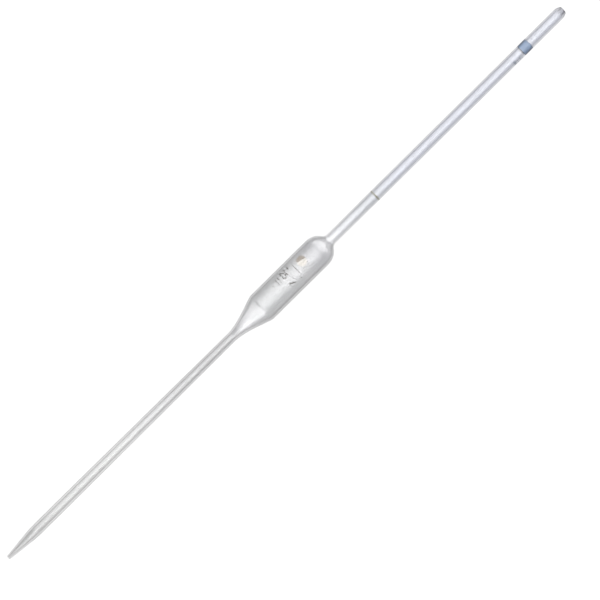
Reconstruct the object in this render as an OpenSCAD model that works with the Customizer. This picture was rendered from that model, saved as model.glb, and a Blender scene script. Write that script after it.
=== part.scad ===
// Volumetric pipette, 25 ml, one mark, blown and drawn from one glass tube.
// It lies on its bulb with its axis along X: jet at -X, mouth at +X.
// All heights below are millimetres along the axis from the tip of the jet.

/* [Overall] */
// Length from the tip of the jet to the mouth
overall_length = 520; // [500:1:560]

/* [Suction tube] */
// Outer diameter of the suction tube, from above the mark to the mouth
suction_d = 8.2; // [7.8:0.1:9]
// Bore of the suction tube
suction_bore_d = 6.2; // [5.8:0.1:6.6]
// Outer diameter where the suction tube leaves the bulb
suction_neck_d = 7.76; // [7.4:0.02:7.8]
// Bore where the suction tube leaves the bulb
suction_neck_bore_d = 5.9; // [5.5:0.1:6.1]
// Length over which the suction tube widens above the bulb
suction_flare = 42.5; // [20:0.5:60]
// Length over which the outside is rounded off at the mouth
mouth_round = 4.4; // [3.8:0.1:5.5]
// Opening of the mouth, drawn in a little by fire polishing
mouth_d = 4.3; // [3.8:0.1:4.8]
// Length of the narrow stretch just inside the mouth
mouth_throat = 1.3; // [0.8:0.1:1.6]

/* [Bulb] */
// Outer diameter of the bulb
bulb_d = 21.8; // [19.5:0.1:24]
// Height at which the bulb starts to swell from the delivery tube
bulb_base = 209; // [190:1:220]
// Length of the long lower cone of the bulb
lower_cone = 29; // [24:0.5:36]
// Length of the straight middle of the bulb
bulb_straight = 50; // [30:1:60]
// Length of the short upper shoulder of the bulb
upper_shoulder = 14.5; // [11:0.5:20]
// Wall of the bulb
bulb_wall = 1.34; // [1:0.02:1.5]

/* [Delivery tube] */
// Outer diameter of the delivery tube above the jet
delivery_d = 8; // [7.6:0.1:8.6]
// Outer diameter where the delivery tube meets the bulb
delivery_neck_d = 7; // [6.6:0.1:7.5]
// Height at which the delivery tube starts to narrow towards the bulb
delivery_taper_start = 60; // [40:1:120]
// Bore of the delivery tube as a share of its outer diameter
delivery_bore_share = 0.66; // [0.6:0.01:0.72]

/* [Jet] */
// Length of the drawn-out jet
jet_length = 24; // [18:0.5:32]
// Outer diameter at the tip of the jet
tip_d = 3; // [2.4:0.1:3.4]
// Diameter of the orifice
orifice_d = 1.0; // [0.6:0.1:1.3]
// Axial depth of the polished edge at the tip
tip_lip = 0.5; // [0.3:0.1:0.8]

/* [Hidden] */

// Facets round the axis, and steps along each blend curve
ROUND = 128;
STEPS = 20;
LIP_STEPS = 10;

// Heights that follow from the sizes above
bulb_low = bulb_base + lower_cone;
bulb_high = bulb_low + bulb_straight;
bulb_top = bulb_high + upper_shoulder;
suction_start = bulb_top + suction_flare;

// How far each tangent handle of a blend reaches from its end
NECK_REACH = 11 / 29;
SHOULDER_REACH = 3 / 29;
DOME_REACH = 11.5 / 14.5;
THROAT_REACH = 4.5 / 14.5;
JET_SHOULDER = 3.5;
// The rim of the mouth: how far its top lies outside the opening, and how deep its inner rounding is
RIM = 0.3;
RIM_DEPTH = 0.4;

function mix(a, b, t) = a + (b - a) * t;
function ease(t) = t * t * (3 - 2 * t);

// A cubic blend from p0 to p3, its slope at each t, and its unit normal towards the axis
function blend(p, t) =
    pow(1 - t, 3) * p[0] + 3 * pow(1 - t, 2) * t * p[1]
    + 3 * (1 - t) * t * t * p[2] + pow(t, 3) * p[3];
function slope(p, t) =
    pow(1 - t, 2) * (p[1] - p[0]) + 2 * (1 - t) * t * (p[2] - p[1]) + t * t * (p[3] - p[2]);
function inward(d) = [-d[1], d[0]] / norm(d);

// The outer surface of a blend, and the inner one, whose wall goes from w0 to w1
function skin(p) = [for (i = [0:STEPS]) blend(p, i / STEPS)];
function lining(p, w0, w1) = [for (i = [0:STEPS])
    let (t = i / STEPS)
    blend(p, t) + mix(w0, w1, ease(t)) * inward(slope(p, t))];

// Half an ellipse that closes the wall between two radii: depth deep, at height z, facing dir
function lip(r_from, r_to, z, depth, dir) = [for (i = [1:LIP_STEPS - 1])
    let (a = 180 * i / LIP_STEPS)
    [mix(r_from, r_to, (1 - cos(a)) / 2), z + dir * depth * sin(a)]];

// Quarter of an ellipse from the top of the rim, at r_top and height z, down to r_side
function rim(r_top, r_side, z, depth) = [for (i = [1:LIP_STEPS])
    let (a = 90 * i / LIP_STEPS)
    [mix(r_top, r_side, sin(a)), z - depth * (1 - cos(a))]];

function back(v) = [for (i = [len(v) - 1:-1:0]) v[i]];

// Blends, as [radius, height] points
cone_blend = [
    [delivery_neck_d / 2, bulb_base],
    [delivery_neck_d / 2, bulb_base + lower_cone * NECK_REACH],
    [bulb_d / 2, bulb_low - lower_cone * SHOULDER_REACH],
    [bulb_d / 2, bulb_low]];
dome_blend = [
    [bulb_d / 2, bulb_high],
    [bulb_d / 2, bulb_high + upper_shoulder * DOME_REACH],
    [suction_neck_d / 2, bulb_top - upper_shoulder * THROAT_REACH],
    [suction_neck_d / 2, bulb_top]];

// The mouth is rounded off outside up to the top of its rim, and drawn in inside
rim_r = mouth_d / 2 + RIM;
throat_z = overall_length - RIM_DEPTH - mouth_throat;
mouth_blend = [
    [suction_d / 2, overall_length - mouth_round],
    [suction_d / 2, overall_length - mouth_round * 6 / 11],
    [rim_r + 0.35, overall_length],
    [rim_r, overall_length]];
throat_blend = [
    [suction_bore_d / 2, overall_length - mouth_round - 0.2],
    [suction_bore_d / 2, overall_length - mouth_round + 1],
    [mouth_d / 2, throat_z - 1],
    [mouth_d / 2, throat_z]];

delivery_r = delivery_d / 2;
delivery_bore_r = delivery_r * delivery_bore_share;
neck_wall = delivery_neck_d / 2 * (1 - delivery_bore_share);
throat_wall = (suction_neck_d - suction_neck_bore_d) / 2;

// The jet's taper ends in a short curve instead of a corner
jet_slope = (delivery_r - tip_d / 2) / (jet_length - tip_lip);
jet_bore_slope = (delivery_bore_r - orifice_d / 2) / (jet_length - tip_lip);
function jet_end(r, s) = [for (i = [0:8])
    let (t = i / 8, p0 = [r - s * JET_SHOULDER, jet_length - JET_SHOULDER],
         p1 = [r, jet_length], p2 = [r, jet_length + JET_SHOULDER])
    (1 - t) * (1 - t) * p0 + 2 * (1 - t) * t * p1 + t * t * p2];

outer_side = concat(
    [[tip_d / 2, tip_lip]],
    jet_end(delivery_r, jet_slope),
    [[delivery_r, delivery_taper_start]],
    skin(cone_blend),
    skin(dome_blend),
    [[suction_d / 2, suction_start]],
    skin(mouth_blend));

inner_side = concat(
    [[orifice_d / 2, tip_lip]],
    jet_end(delivery_bore_r, jet_bore_slope),
    [[delivery_bore_r, delivery_taper_start]],
    lining(cone_blend, neck_wall, bulb_wall),
    lining(dome_blend, bulb_wall, throat_wall),
    [[suction_bore_d / 2, suction_start]],
    skin(throat_blend));

section = concat(
    outer_side,
    rim(rim_r, mouth_d / 2, overall_length, RIM_DEPTH),
    back(inner_side),
    lip(orifice_d / 2, tip_d / 2, tip_lip, tip_lip, -1));

// Middle of the length above the origin, resting on the underside of the bulb
module pipette() {
    color([0.86, 0.89, 0.91, 0.4])
        translate([-overall_length / 2, 0, bulb_d / 2])
            rotate([0, 90, 0])
                rotate_extrude($fn = ROUND)
                    polygon(section);
}

pipette();
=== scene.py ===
"""Looks of the 25 ml volumetric pipette: clear glass, fired-on marks and print, floor, light and camera."""

import math

import bmesh
import bpy
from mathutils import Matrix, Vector


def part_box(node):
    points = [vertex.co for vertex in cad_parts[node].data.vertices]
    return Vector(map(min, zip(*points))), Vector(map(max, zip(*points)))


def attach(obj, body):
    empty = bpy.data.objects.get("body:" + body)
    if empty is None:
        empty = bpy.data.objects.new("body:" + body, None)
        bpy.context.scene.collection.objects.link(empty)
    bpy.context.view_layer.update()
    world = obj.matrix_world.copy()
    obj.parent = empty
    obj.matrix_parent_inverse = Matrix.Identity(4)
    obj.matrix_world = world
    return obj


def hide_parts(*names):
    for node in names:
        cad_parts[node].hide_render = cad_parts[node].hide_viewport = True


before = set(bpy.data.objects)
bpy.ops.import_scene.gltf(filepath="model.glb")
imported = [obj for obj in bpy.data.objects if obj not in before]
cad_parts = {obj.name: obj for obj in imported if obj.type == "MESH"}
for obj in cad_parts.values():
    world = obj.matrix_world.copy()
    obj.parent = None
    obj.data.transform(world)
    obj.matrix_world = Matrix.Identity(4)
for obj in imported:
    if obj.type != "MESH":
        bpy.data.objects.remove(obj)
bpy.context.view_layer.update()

scene = bpy.context.scene
MM = 0.001

# The CAD solid's own place: the tip of the jet, and the height of the axis.
low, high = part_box("pipette")
TIP_X = low.x
LENGTH = (high.x - low.x) / MM
AXIS_Z = (low.z + high.z) / 2

# ---------------------------------------------------------------- profile
# The same construction as the part's source, in millimetres from the tip of the jet.
SUCTION_R, SUCTION_BORE = 4.1, 3.1
NECK_R, NECK_BORE = 3.88, 2.95
BULB_R, BULB_WALL = 10.9, 1.34
BULB_BASE, BULB_LOW, BULB_HIGH, BULB_TOP = 209.0, 238.0, 288.0, 302.5
SUCTION_START = 345.0
DELIVERY_R, DELIVERY_NECK, BORE_SHARE = 4.0, 3.5, 0.66
TIP_R, ORIFICE_R, TIP_LIP, JET, JET_SHOULDER = 1.5, 0.5, 0.5, 24.0, 3.5
MOUTH_ROUND, MOUTH_R, THROAT_Z, RIM, RIM_DEPTH = 4.4, 2.15, LENGTH - 1.7, 0.3, 0.4
CONE = [(DELIVERY_NECK, BULB_BASE), (DELIVERY_NECK, BULB_BASE + 11.0), (BULB_R, BULB_LOW - 3.0), (BULB_R, BULB_LOW)]
DOME = [(BULB_R, BULB_HIGH), (BULB_R, BULB_HIGH + 11.5), (NECK_R, BULB_TOP - 4.5), (NECK_R, BULB_TOP)]
MOUTH = [
    (SUCTION_R, LENGTH - MOUTH_ROUND),
    (SUCTION_R, LENGTH - MOUTH_ROUND * 6 / 11),
    (MOUTH_R + RIM + 0.35, LENGTH),
    (MOUTH_R + RIM, LENGTH),
]
THROAT = [
    (SUCTION_BORE, LENGTH - MOUTH_ROUND - 0.2),
    (SUCTION_BORE, LENGTH - MOUTH_ROUND + 1.0),
    (MOUTH_R, THROAT_Z - 1.0),
    (MOUTH_R, THROAT_Z),
]


def cubic(p, t):
    k = ((1 - t) ** 3, 3 * (1 - t) ** 2 * t, 3 * (1 - t) * t * t, t**3)
    return tuple(sum(w * q[i] for w, q in zip(k, p)) for i in (0, 1))


def heading(p, t):
    k = ((1 - t) ** 2, 2 * (1 - t) * t, t * t)
    return tuple(sum(w * (p[j + 1][i] - p[j][i]) for j, w in enumerate(k)) for i in (0, 1))


def curve(p, steps, w0=0.0, w1=0.0):
    out = []
    for i in range(steps + 1):
        t = i / steps
        w = w0 + (w1 - w0) * t * t * (3 - 2 * t)
        r, z = cubic(p, t)
        dr, dz = heading(p, t)
        n = math.hypot(dr, dz)
        out.append((r - w * dz / n, z + w * dr / n))
    return out


def jet_end(r, slope):
    p = ((r - slope * JET_SHOULDER, JET - JET_SHOULDER), (r, JET), (r, JET + JET_SHOULDER))
    out = []
    for i in range(13):
        t = i / 12
        k = ((1 - t) ** 2, 2 * (1 - t) * t, t * t)
        out.append(tuple(sum(w * q[j] for w, q in zip(k, p)) for j in (0, 1)))
    return out


def straight(a, b, step):
    """The points between two ends of a straight stretch, without the ends."""
    n = max(1, round(math.hypot(b[0] - a[0], b[1] - a[1]) / step))
    return [tuple(a[i] + (b[i] - a[i]) * k / n for i in (0, 1)) for k in range(1, n)]


def lip(r0, r1, z, depth, side, steps=14):
    out = []
    for i in range(1, steps):
        a = math.pi * i / steps
        out.append((r0 + (r1 - r0) * (1 - math.cos(a)) / 2, z + side * depth * math.sin(a)))
    return out


def rim(r_top, r_side, z, depth, steps=7):
    """Quarter of an ellipse from the top of the rim, at r_top and height z, down to r_side."""
    angles = [math.pi / 2 * i / steps for i in range(1, steps + 1)]
    return [(r_top + (r_side - r_top) * math.sin(a), z - depth * (1 - math.cos(a))) for a in angles]


def side(tip_r, jet_r, cone, dome, mouth):
    """One side of the wall, from the tip of the jet to the mouth."""
    slope = (jet_r - tip_r) / (JET - TIP_LIP)
    jet = jet_end(jet_r, slope)
    top_r = mouth[0][0]
    line = [(tip_r, TIP_LIP)] + straight((tip_r, TIP_LIP), jet[0], 3) + jet
    line += straight(jet[-1], (jet_r, 60.0), 6) + [(jet_r, 60.0)]
    line += straight((jet_r, 60.0), cone[0], 8) + cone
    line += straight(cone[-1], dome[0], 5) + dome
    line += straight(dome[-1], (top_r, SUCTION_START), 6) + [(top_r, SUCTION_START)]
    return line + straight((top_r, SUCTION_START), mouth[0], 8) + mouth


outer = side(TIP_R, DELIVERY_R, curve(CONE, 44), curve(DOME, 40), curve(MOUTH, 24))
inner = side(
    ORIFICE_R,
    DELIVERY_R * BORE_SHARE,
    curve(CONE, 44, DELIVERY_NECK * (1 - BORE_SHARE), BULB_WALL),
    curve(DOME, 40, BULB_WALL, NECK_R - NECK_BORE),
    curve(THROAT, 16),
)


def outer_radius(z):
    for (r0, z0), (r1, z1) in zip(outer, outer[1:]):
        if z0 <= z <= z1 and z1 > z0:
            return r0 + (r1 - r0) * (z - z0) / (z1 - z0)
    return outer[-1][0]


def place(z, r, angle):
    """A point on the pipette: mm from the tip, mm from the axis, and degrees from the top towards -Y."""
    a = math.radians(angle)
    return Vector((TIP_X + z * MM, -r * MM * math.sin(a), AXIS_Z + r * MM * math.cos(a)))


def new_piece(name, bm, material):
    bmesh.ops.recalc_face_normals(bm, faces=bm.faces)
    mesh = bpy.data.meshes.new(name)
    bm.to_mesh(mesh)
    bm.free()
    mesh.materials.append(material)
    piece = bpy.data.objects.new(name, mesh)
    scene.collection.objects.link(piece)
    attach(piece, "root")
    return piece


# -------------------------------------------------------------- materials
def nodes_of(name):
    m = bpy.data.materials.new(name)
    m.use_nodes = True
    t = m.node_tree
    return m, t, t.nodes["Principled BSDF"]


def add(tree, kind, **values):
    n = tree.nodes.new(kind)
    for k, v in values.items():
        if k in n.inputs:
            n.inputs[k].default_value = v
        else:
            setattr(n, k, v)
    return n


def stretched_noise(tree, scale, along, detail=2.0):
    """Noise in the object's own coordinates, drawn out along the tube."""
    where = add(tree, "ShaderNodeTexCoord")
    mapping = add(tree, "ShaderNodeMapping")
    mapping.inputs["Scale"].default_value = (along, 1, 1)
    noise = add(tree, "ShaderNodeTexNoise", Scale=scale, Detail=detail, Roughness=0.5)
    tree.links.new(where.outputs["Object"], mapping.inputs["Vector"])
    tree.links.new(mapping.outputs["Vector"], noise.inputs["Vector"])
    return noise


def ramp(tree, source, stops):
    n = add(tree, "ShaderNodeValToRGB")
    e = n.color_ramp.elements
    while len(e) < len(stops):
        e.new(0.5)
    for x, (at, colour) in zip(e, stops):
        x.position = at
        x.color = (*colour, 1)
    tree.links.new(source, n.inputs["Fac"])
    return n


def spread(tree, source, low, high):
    n = add(tree, "ShaderNodeMapRange")
    n.inputs["From Min"].default_value = 0.3
    n.inputs["From Max"].default_value = 0.7
    n.inputs["To Min"].default_value = low
    n.inputs["To Max"].default_value = high
    tree.links.new(source, n.inputs["Value"])
    return n


def glass_material():
    """Clear glass: neutral grey from the jet to the bulb, then faintly lavender, darker grey at the tip of the jet,
    with painted shade at the polished mouth rim and where the surface is seen edge-on, and painted highlight over the
    cone and the shoulder.
    """
    m, t, s = nodes_of("clear_glass")
    s.inputs["Transmission Weight"].default_value = 1.0
    s.inputs["IOR"].default_value = 1.49
    where = add(t, "ShaderNodeTexCoord")
    split = add(t, "ShaderNodeSeparateXYZ")
    t.links.new(where.outputs["Object"], split.inputs["Vector"])
    along = add(t, "ShaderNodeMapRange")
    along.inputs["From Min"].default_value = TIP_X
    along.inputs["From Max"].default_value = TIP_X + LENGTH * MM
    t.links.new(split.outputs["X"], along.inputs["Value"])
    # The glass's tint along its length, carrying painted highlight and painted shade too.
    tint_and_painted_light = ramp(t, along.outputs["Result"], [(z / LENGTH, colour) for z, colour in GLASS_TINTS_AND_PAINTED_LIGHT])
    cloud = ramp(t, stretched_noise(t, 60, 0.1).outputs["Fac"], [(0.3, (0.975,) * 3), (0.7, (1.0,) * 3)])
    both = add(t, "ShaderNodeMix", data_type="RGBA", blend_type="MULTIPLY")
    both.inputs["Factor"].default_value = 1.0
    t.links.new(tint_and_painted_light.outputs["Color"], both.inputs["A"])
    t.links.new(cloud.outputs["Color"], both.inputs["B"])
    # Painted shade: the colour darkens towards the edges that are seen edge-on.
    facing = add(t, "ShaderNodeLayerWeight", Blend=0.5)
    depth = ramp(t, facing.outputs["Facing"], [(at, (v,) * 3) for at, v in GLASS_EDGE_SHADE])
    edge_shaded = add(t, "ShaderNodeMix", data_type="RGBA", blend_type="MULTIPLY")
    edge_shaded.inputs["Factor"].default_value = 1.0
    t.links.new(both.outputs["Result"], edge_shaded.inputs["A"])
    t.links.new(depth.outputs["Color"], edge_shaded.inputs["B"])
    t.links.new(edge_shaded.outputs["Result"], s.inputs["Base Color"])
    haze = spread(t, stretched_noise(t, 120, 0.1).outputs["Fac"], 0.0, 0.02)
    t.links.new(haze.outputs["Result"], s.inputs["Roughness"])
    striae = stretched_noise(t, 260, 0.02, 0.0)
    bump = add(t, "ShaderNodeBump", Strength=0.03, Distance=0.0002)
    t.links.new(striae.outputs["Fac"], bump.inputs["Height"])
    t.links.new(bump.outputs["Normal"], s.inputs["Normal"])
    return m


def enamel_material(name, thin, thick, alpha=1.0, specular=0.5, rim=()):
    """Fired-on enamel or stain: its colour, gloss and surface follow how thickly it was laid on.

    rim darkens the colour where the surface is seen edge-on, a painted shade at the edges."""
    m, t, s = nodes_of(name)
    noise = stretched_noise(t, 1400, 0.6, 3.0)
    colour = ramp(t, noise.outputs["Fac"], [(0.35, thin), (0.65, thick)])
    out = colour.outputs["Color"]
    # Painted shade: rim darkens the colour towards edges seen edge-on.
    if rim:
        facing = add(t, "ShaderNodeLayerWeight", Blend=0.5)
        depth = ramp(t, facing.outputs["Facing"], [(at, (v,) * 3) for at, v in rim])
        edge_shaded = add(t, "ShaderNodeMix", data_type="RGBA", blend_type="MULTIPLY")
        edge_shaded.inputs["Factor"].default_value = 1.0
        t.links.new(out, edge_shaded.inputs["A"])
        t.links.new(depth.outputs["Color"], edge_shaded.inputs["B"])
        out = edge_shaded.outputs["Result"]
    t.links.new(out, s.inputs["Base Color"])
    t.links.new(spread(t, noise.outputs["Fac"], 0.3, 0.5).outputs["Result"], s.inputs["Roughness"])
    s.inputs["Alpha"].default_value = alpha
    s.inputs["Specular IOR Level"].default_value = specular
    bump = add(t, "ShaderNodeBump", Strength=0.15, Distance=0.00005)
    t.links.new(noise.outputs["Fac"], bump.inputs["Height"])
    t.links.new(bump.outputs["Normal"], s.inputs["Normal"])
    return m


GLASS_EDGE_SHADE = [(0.2, 1.0), (0.42, 0.85), (0.6, 0.45), (0.8, 0.12)]  # painted shade: the glass's colour darkens where the surface is seen edge-on
# mm from the tip of the jet, and the colour there: the glass's grey tint, stepping lighter and darker along the
# length, with painted highlight over the cone and the shoulder and painted shade at the mouth rim
GLASS_TINTS_AND_PAINTED_LIGHT = [
    (0, (0.61, 0.61, 0.61)),
    (22, (0.68, 0.68, 0.68)),
    (45, (0.725, 0.725, 0.725)),
    (110, (0.735, 0.735, 0.735)),
    (135, (0.705, 0.705, 0.71)),
    (165, (0.655, 0.655, 0.66)),
    (205, (0.63, 0.63, 0.635)),
    # painted highlight: lighter over the cone
    (222, (0.74, 0.74, 0.75)),
    (242, (0.71, 0.715, 0.72)),
    (275, (0.725, 0.725, 0.73)),
    (288, (0.685, 0.685, 0.7)),
    # painted highlight: lighter over the shoulder
    (298, (0.785, 0.785, 0.795)),
    (305, (0.775, 0.78, 0.795)),
    (335, (0.69, 0.7, 0.72)),
    (365, (0.695, 0.705, 0.745)),
    (516.8, (0.68, 0.69, 0.73)),
    # painted shade: much darker at the mouth rim
    (518.2, (0.39, 0.39, 0.42)),
]
FLOOR_GLOW = 0.875
CLEAR = glass_material()
AMBER = enamel_material("amber_enamel", (0.075, 0.073, 0.052), (0.105, 0.1, 0.07), 0.85)
# The blue band's colour is darkened towards its edges seen edge-on: painted shade.
BLUE = enamel_material("blue_enamel", (0.05, 0.07, 0.107), (0.063, 0.086, 0.128), rim=[(0.12, 1.0), (0.4, 0.6), (0.6, 0.28)])
BROWN = enamel_material("brown_enamel", (0.026, 0.024, 0.022), (0.04, 0.036, 0.032), 0.72, 0.3)
GREY = enamel_material("grey_enamel", (0.07, 0.07, 0.07), (0.1, 0.1, 0.1), 0.5, 0.3)
TAN = enamel_material("tan_enamel", (0.1, 0.088, 0.076), (0.14, 0.124, 0.107), 0.75, 0.3)
CREAM = enamel_material("cream_enamel", (0.24, 0.228, 0.21), (0.3, 0.286, 0.265), 0.6, 0.3)
SLATE = enamel_material("slate_enamel", (0.05, 0.06, 0.075), (0.07, 0.082, 0.1), 0.6, 0.3)

# ------------------------------------------------------------------ glass
ROUND = 160


def lathe():
    loop = outer + rim(MOUTH_R + RIM, MOUTH_R, LENGTH, RIM_DEPTH)
    loop += inner[::-1] + lip(ORIFICE_R, TIP_R, TIP_LIP, TIP_LIP, -1)
    bm = bmesh.new()
    rings = []
    for r, z in loop:
        rings.append([bm.verts.new(place(z, r, 360.0 * k / ROUND)) for k in range(ROUND)])
    for a, b in zip(rings, rings[1:] + rings[:1]):
        for k in range(ROUND):
            n = (k + 1) % ROUND
            f = bm.faces.new((a[k], a[n], b[n], b[k]))
            f.smooth = True
    return bm


glass = new_piece("glass_body", lathe(), CLEAR)
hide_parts("pipette")

# ------------------------------------------------- fired-on marks and print
LIFT, PROUD = 0.008, 0.03  # mm from the glass to the underside and to the face of the enamel


def band(name, z0, z1, material, wide=lambda a: 0.0):
    """A closed sleeve of enamel right round the tube, whose upper edge may wander."""
    steps = max(2, round((z1 - z0) / 0.5))
    bm = bmesh.new()
    sheets = []
    for lift in (PROUD, LIFT):
        rows = []
        for i in range(steps + 1):
            row = []
            for k in range(128):
                a = 360.0 * k / 128
                z = z0 + (z1 - z0) * i / steps + wide(a) * i / steps
                row.append(bm.verts.new(place(z, outer_radius(z) + lift, a)))
            rows.append(row)
        sheets.append(rows)
    for rows in sheets:
        for a, b in zip(rows, rows[1:]):
            for k in range(128):
                n = (k + 1) % 128
                bm.faces.new((a[k], a[n], b[n], b[k])).smooth = True
    for row in (0, -1):
        a, b = sheets[0][row], sheets[1][row]
        for k in range(128):
            n = (k + 1) % 128
            bm.faces.new((a[k], a[n], b[n], b[k]))
    return new_piece(name, bm, material)


def strip_points(line, width):
    """Left and right edges of a stroke along a line of (u, v) points."""
    left, right = [], []
    for i, p in enumerate(line):
        a = line[max(0, i - 1)]
        b = line[min(len(line) - 1, i + 1)]
        d = (b[0] - a[0], b[1] - a[1])
        n = math.hypot(*d)
        o = (-d[1] / n * width / 2, d[0] / n * width / 2)
        left.append((p[0] + o[0], p[1] + o[1]))
        right.append((p[0] - o[0], p[1] - o[1]))
    return left, right


def add_stroke(bm, line, width, centre_angle, centre_z):
    """A raised stroke on the bulb. u runs round the bulb from left to right as it is read, v towards the mouth."""
    left, right = strip_points(line, width)

    def lifted(uv, lift):
        z = centre_z + uv[1]
        r = outer_radius(z)
        return bm.verts.new(place(z, r + lift, centre_angle + math.degrees(uv[0] / r)))

    rows = []
    for l, r in zip(left, right):
        middle = ((l[0] + r[0]) / 2, (l[1] + r[1]) / 2)
        rows.append([[lifted(p, lift) for p in (l, middle, r)] for lift in (PROUD, LIFT)])
    for (top0, low0), (top1, low1) in zip(rows, rows[1:]):
        for k in (0, 1):
            bm.faces.new((top0[k], top0[k + 1], top1[k + 1], top1[k]))
            bm.faces.new((low0[k], low1[k], low1[k + 1], low0[k + 1]))
        for k in (0, 2):
            bm.faces.new((top0[k], top1[k], low1[k], low0[k]))
    for top, bottom in (rows[0], rows[-1]):
        for k in (0, 1):
            bm.faces.new((top[k], top[k + 1], bottom[k + 1], bottom[k]))


def arc(cx, cy, rx, ry, start, end, steps=18):
    return [
        (cx + rx * math.cos(math.radians(start + (end - start) * k / steps)),
         cy + ry * math.sin(math.radians(start + (end - start) * k / steps)))
        for k in range(steps + 1)
    ]


def segment(a, b, step=0.25):
    n = max(1, round(math.hypot(b[0] - a[0], b[1] - a[1]) / step))
    return [(a[0] + (b[0] - a[0]) * k / n, a[1] + (b[1] - a[1]) * k / n) for k in range(n + 1)]


def two(w, h):
    top = arc(w / 2, h - w * 0.48, w * 0.46, w * 0.46, 165, -28)
    knee = (w * 0.06, 0.06 * h)
    return top + segment(top[-1], knee)[1:] + segment((w * 0.12, 0.03 * h), (w, 0.03 * h))[1:]


def five(w, h):
    bowl = arc(w * 0.46, h * 0.32, w * 0.5, h * 0.3, 118, -150, 24)
    return segment((w * 0.94, h * 0.97), (w * 0.2, h * 0.97)) + segment((w * 0.17, h * 0.92), bowl[0])[1:] + bowl[1:]


def moved(line, du, dv):
    return [(u + du, v + dv) for u, v in line]


def bar(u0, u1, v):
    return segment((u0, v), (u1, v))


def add_field(bm, rows, centre_angle, centre_z, columns=10):
    """A raised field on the glass: each row is (v, first u, last u)."""

    def sheet(lift):
        out = []
        for v, u0, u1 in rows:
            z = centre_z + v
            r = outer_radius(z)
            line = [u0 + (u1 - u0) * k / columns for k in range(columns + 1)]
            out.append([bm.verts.new(place(z, r + lift, centre_angle + math.degrees(u / r))) for u in line])
        return out

    top, bottom = sheet(PROUD), sheet(LIFT)
    for i in range(len(rows) - 1):
        for k in range(columns):
            bm.faces.new((top[i][k], top[i][k + 1], top[i + 1][k + 1], top[i + 1][k])).smooth = True
            bm.faces.new((bottom[i][k], bottom[i + 1][k], bottom[i + 1][k + 1], bottom[i][k + 1])).smooth = True
        for k in (0, columns):
            bm.faces.new((top[i][k], top[i + 1][k], bottom[i + 1][k], bottom[i][k]))
    for i in (0, -1):
        for k in range(columns):
            bm.faces.new((top[i][k], top[i][k + 1], bottom[i][k + 1], bottom[i][k]))


def oval(half_u, half_v, first, last, steps=20):
    """Rows of an oval, cut by two lines that give the first and last u at each v."""
    rows = []
    for i in range(steps + 1):
        v = half_v * math.sin(math.radians(90 * (2 * i / steps - 1)))
        w = half_u * math.sqrt(max(0.0, 1 - (v / half_v) ** 2))
        u0, u1 = max(-w, first(v)), min(w, last(v))
        if u1 - u0 > 0.15:
            rows.append((v, u0, u1))
    return rows


def print_piece(name, material, strokes=(), fields=()):
    """Strokes are (line, width, angle, z), fields are (rows, angle, z); angles in degrees from the top towards -Y."""
    bm = bmesh.new()
    for line, width, angle, z in strokes:
        add_stroke(bm, line, width, angle, z)
    for rows, angle, z in fields:
        add_field(bm, rows, angle, z)
    return new_piece(name, bm, material)


def across_bulb(angle0, angle1, v=0.0, r=BULB_R):
    """A line round the glass between two angles, as seen from their middle."""
    half = math.radians(angle1 - angle0) / 2 * r
    return segment((-half, v), (half, v), 0.4)


MARK_Z = 343.8
BAND_Z = (480.9, 487.9)
ring = band("ring_mark", MARK_Z - 0.4, MARK_Z + 0.4, AMBER)
code = band("colour_code_band", BAND_Z[0], BAND_Z[1], BLUE, lambda a: 0.12 * math.sin(math.radians(a * 3 + 40)))

# The capacity in ml, and beside it plain bars and a plain two-tone oval.
FIGURE_Z, FIGURE_ANGLE = 263.4, -29
print_piece(
    "capacity_figure", BROWN,
    [(moved(two(2.5, 4.0), -3.0, -2.0), 0.6, FIGURE_ANGLE, FIGURE_Z), (moved(five(2.5, 4.0), 0.4, -2.0), 0.6, FIGURE_ANGLE, FIGURE_Z)],
)
print_piece(
    "print_bars_dark", BROWN,
    [
        (across_bulb(-42, -33), 0.9, -37.5, 268.0),
        (segment((-1.3, -1.9), (0.9, 1.9)), 0.8, 17, 263.7),
        (across_bulb(-38, -27), 0.8, -32.5, 258.6),
        (across_bulb(-38, -29), 0.6, -33.5, 256.6),
    ],
)
print_piece(
    "print_bars_grey", GREY,
    [
        (across_bulb(-32, -24), 0.7, -28, 271.8),
        (across_bulb(-22, 10), 0.55, -6, 271.8),
        (across_bulb(-25, -12), 0.5, -18.5, 258.6),
        (across_bulb(-26, -9), 0.5, -17.5, 256.6),
        (across_bulb(-30, -19), 0.6, -24.5, 252.8),
        (across_bulb(-2, 10), 0.6, 4, 266.3),
        (across_bulb(20, 28), 0.8, 24, 270.3),
    ],
)
SPLIT = -0.6
print_piece(
    "oval_field_tan", TAN,
    fields=[(oval(4.0, 3.4, lambda v: -9, lambda v: SPLIT + 0.25 * v), -18, 278.2)],
)
print_piece(
    "oval_field_cream", CREAM,
    fields=[(oval(4.0, 3.4, lambda v: SPLIT + 0.1 + 0.25 * v, lambda v: 9), -18, 278.2)],
)
# Small plain bars under the colour-code band.
print_piece(
    "tube_bars", SLATE,
    [
        (across_bulb(24, 68, 0, SUCTION_R), 1.5, 46, 472.0),
        (across_bulb(38, 74, 0, SUCTION_R), 0.6, 56, 474.4),
        (across_bulb(30, 74, 0, SUCTION_R), 0.6, 52, 476.6),
        (across_bulb(44, 74, 0, SUCTION_R), 0.5, 59, 478.2),
    ],
)

# ------------------------------------------------------------------ floor
bm = bmesh.new()
bmesh.ops.create_grid(bm, x_segments=1, y_segments=1, size=12.0)
floor_mesh = bpy.data.meshes.new("floor")
bm.to_mesh(floor_mesh)
bm.free()
floor = bpy.data.objects.new("floor", floor_mesh)
scene.collection.objects.link(floor)
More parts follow.
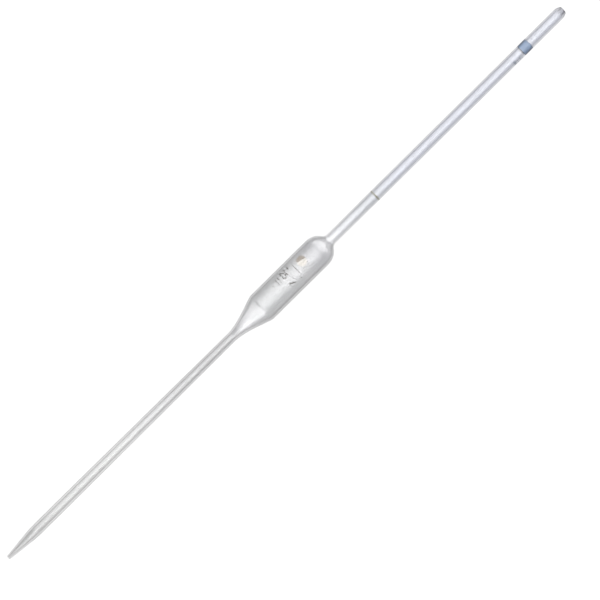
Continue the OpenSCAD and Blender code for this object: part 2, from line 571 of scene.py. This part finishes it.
# Matt opal acrylic, lit from inside and a little by the room.
m, t, s = nodes_of("floor_opal_acrylic")
s.inputs["Base Color"].default_value = (0.06, 0.06, 0.06, 1)
s.inputs["Specular IOR Level"].default_value = 0.0
s.inputs["Emission Color"].default_value = (1, 1, 1, 1)
s.inputs["Emission Strength"].default_value = FLOOR_GLOW
s.inputs["Coat Weight"].default_value = 0.15
s.inputs["Coat Roughness"].default_value = 0.3
gloss = spread(t, stretched_noise(t, 30, 1.0).outputs["Fac"], 0.5, 0.6)
t.links.new(gloss.outputs["Result"], s.inputs["Roughness"])
floor_mesh.materials.append(m)

# ------------------------------------------------------------------ light
world = bpy.data.worlds.new("studio")
scene.world = world
world.use_nodes = True
t = world.node_tree
background = t.nodes["Background"]
direction = add(t, "ShaderNodeTexCoord")
split = add(t, "ShaderNodeSeparateXYZ")
t.links.new(direction.outputs["Generated"], split.inputs["Vector"])


def maths(tree, operation, a, b=None):
    n = add(tree, "ShaderNodeMath", operation=operation)
    for i, v in enumerate((a, b)):
        if v is None:
            continue
        if isinstance(v, (int, float)):
            n.inputs[i].default_value = v
        else:
            tree.links.new(v, n.inputs[i])
    return n.outputs[0]


# Soft boxes far away, placed by two angles in degrees: how far towards the mouth from the vertical
# across the pipette, and how far towards +Y from the vertical along it.
x, y, z = (split.outputs[k] for k in "XYZ")
lengthwise = maths(t, "DEGREES", maths(t, "ARCSINE", x))
crosswise = maths(t, "DEGREES", maths(t, "ARCTAN2", y, maths(t, "MAXIMUM", z, 0.0001)))


def edge(angle, at, soft, rising):
    n = add(t, "ShaderNodeMapRange", interpolation_type="SMOOTHSTEP")
    n.inputs["From Min"].default_value = at - soft / 2
    n.inputs["From Max"].default_value = at + soft / 2
    n.inputs["To Min"].default_value = 0.0 if rising else 1.0
    n.inputs["To Max"].default_value = 1.0 if rising else 0.0
    t.links.new(angle, n.inputs["Value"])
    return n.outputs["Result"]


def soft_box(strength, along, soft_along, across, soft_across):
    """A light between two angles each way, with edges that fade over so many degrees."""
    out = strength
    for angle, (start, end), soft in ((lengthwise, along, soft_along), (crosswise, across, soft_across)):
        out = maths(t, "MULTIPLY", edge(angle, start, soft, True), out)
        out = maths(t, "MULTIPLY", edge(angle, end, soft, False), out)
    return out


SOFT_BOXES = [
    (4.5, (-8, 11), 12, (-30, 62), 55),
    (8.5, (-111, -35), 46, (-61, 100), 45),
    (2.4, (-36, -8), 3, (-53, 9), 5),
    (3.8, (14, 95), 24, (-37, 100), 36),
]
ROOM, ROOM_SLOPE = 0.78, -0.29  # the room's own light, and how much more of it there is towards +Y
sky = maths(t, "ADD", maths(t, "MULTIPLY", y, ROOM_SLOPE), ROOM)
for box in SOFT_BOXES:
    sky = maths(t, "ADD", soft_box(*box), sky)
t.links.new(maths(t, "MAXIMUM", sky, 0.0), background.inputs["Strength"])
background.inputs["Color"].default_value = (1, 1, 1, 1)
pale = add(t, "ShaderNodeBackground", Strength=1.0)
pale.inputs["Color"].default_value = (1, 1, 1, 1)
path = add(t, "ShaderNodeLightPath")
either = add(t, "ShaderNodeMixShader")
t.links.new(path.outputs["Is Camera Ray"], either.inputs["Fac"])
t.links.new(background.outputs["Background"], either.inputs[1])
t.links.new(pale.outputs["Background"], either.inputs[2])
t.links.new(either.outputs["Shader"], t.nodes["World Output"].inputs["Surface"])

scene.view_settings.view_transform = "Standard"
scene.view_settings.look = "None"
# Keeps the denoiser from carrying the noise of its guide pictures into the clear glass.
scene.cycles.denoising_input_passes = "RGB"

# ----------------------------------------------------------------- camera
camera_data = bpy.data.cameras.new("camera")
camera_data.lens = 200
camera_data.sensor_width = 36
camera = bpy.data.objects.new("camera", camera_data)
scene.collection.objects.link(camera)
VIEW_WIDTH = 0.4
distance = camera_data.lens / camera_data.sensor_width * VIEW_WIDTH
middle = (low + high) / 2
camera.location = (middle.x - 0.00079, middle.y - 0.01441, AXIS_Z + distance)
camera.rotation_euler = (0, 0, math.radians(-44.66))
camera_data.clip_start = 0.1
camera_data.clip_end = 100
scene.camera = camera
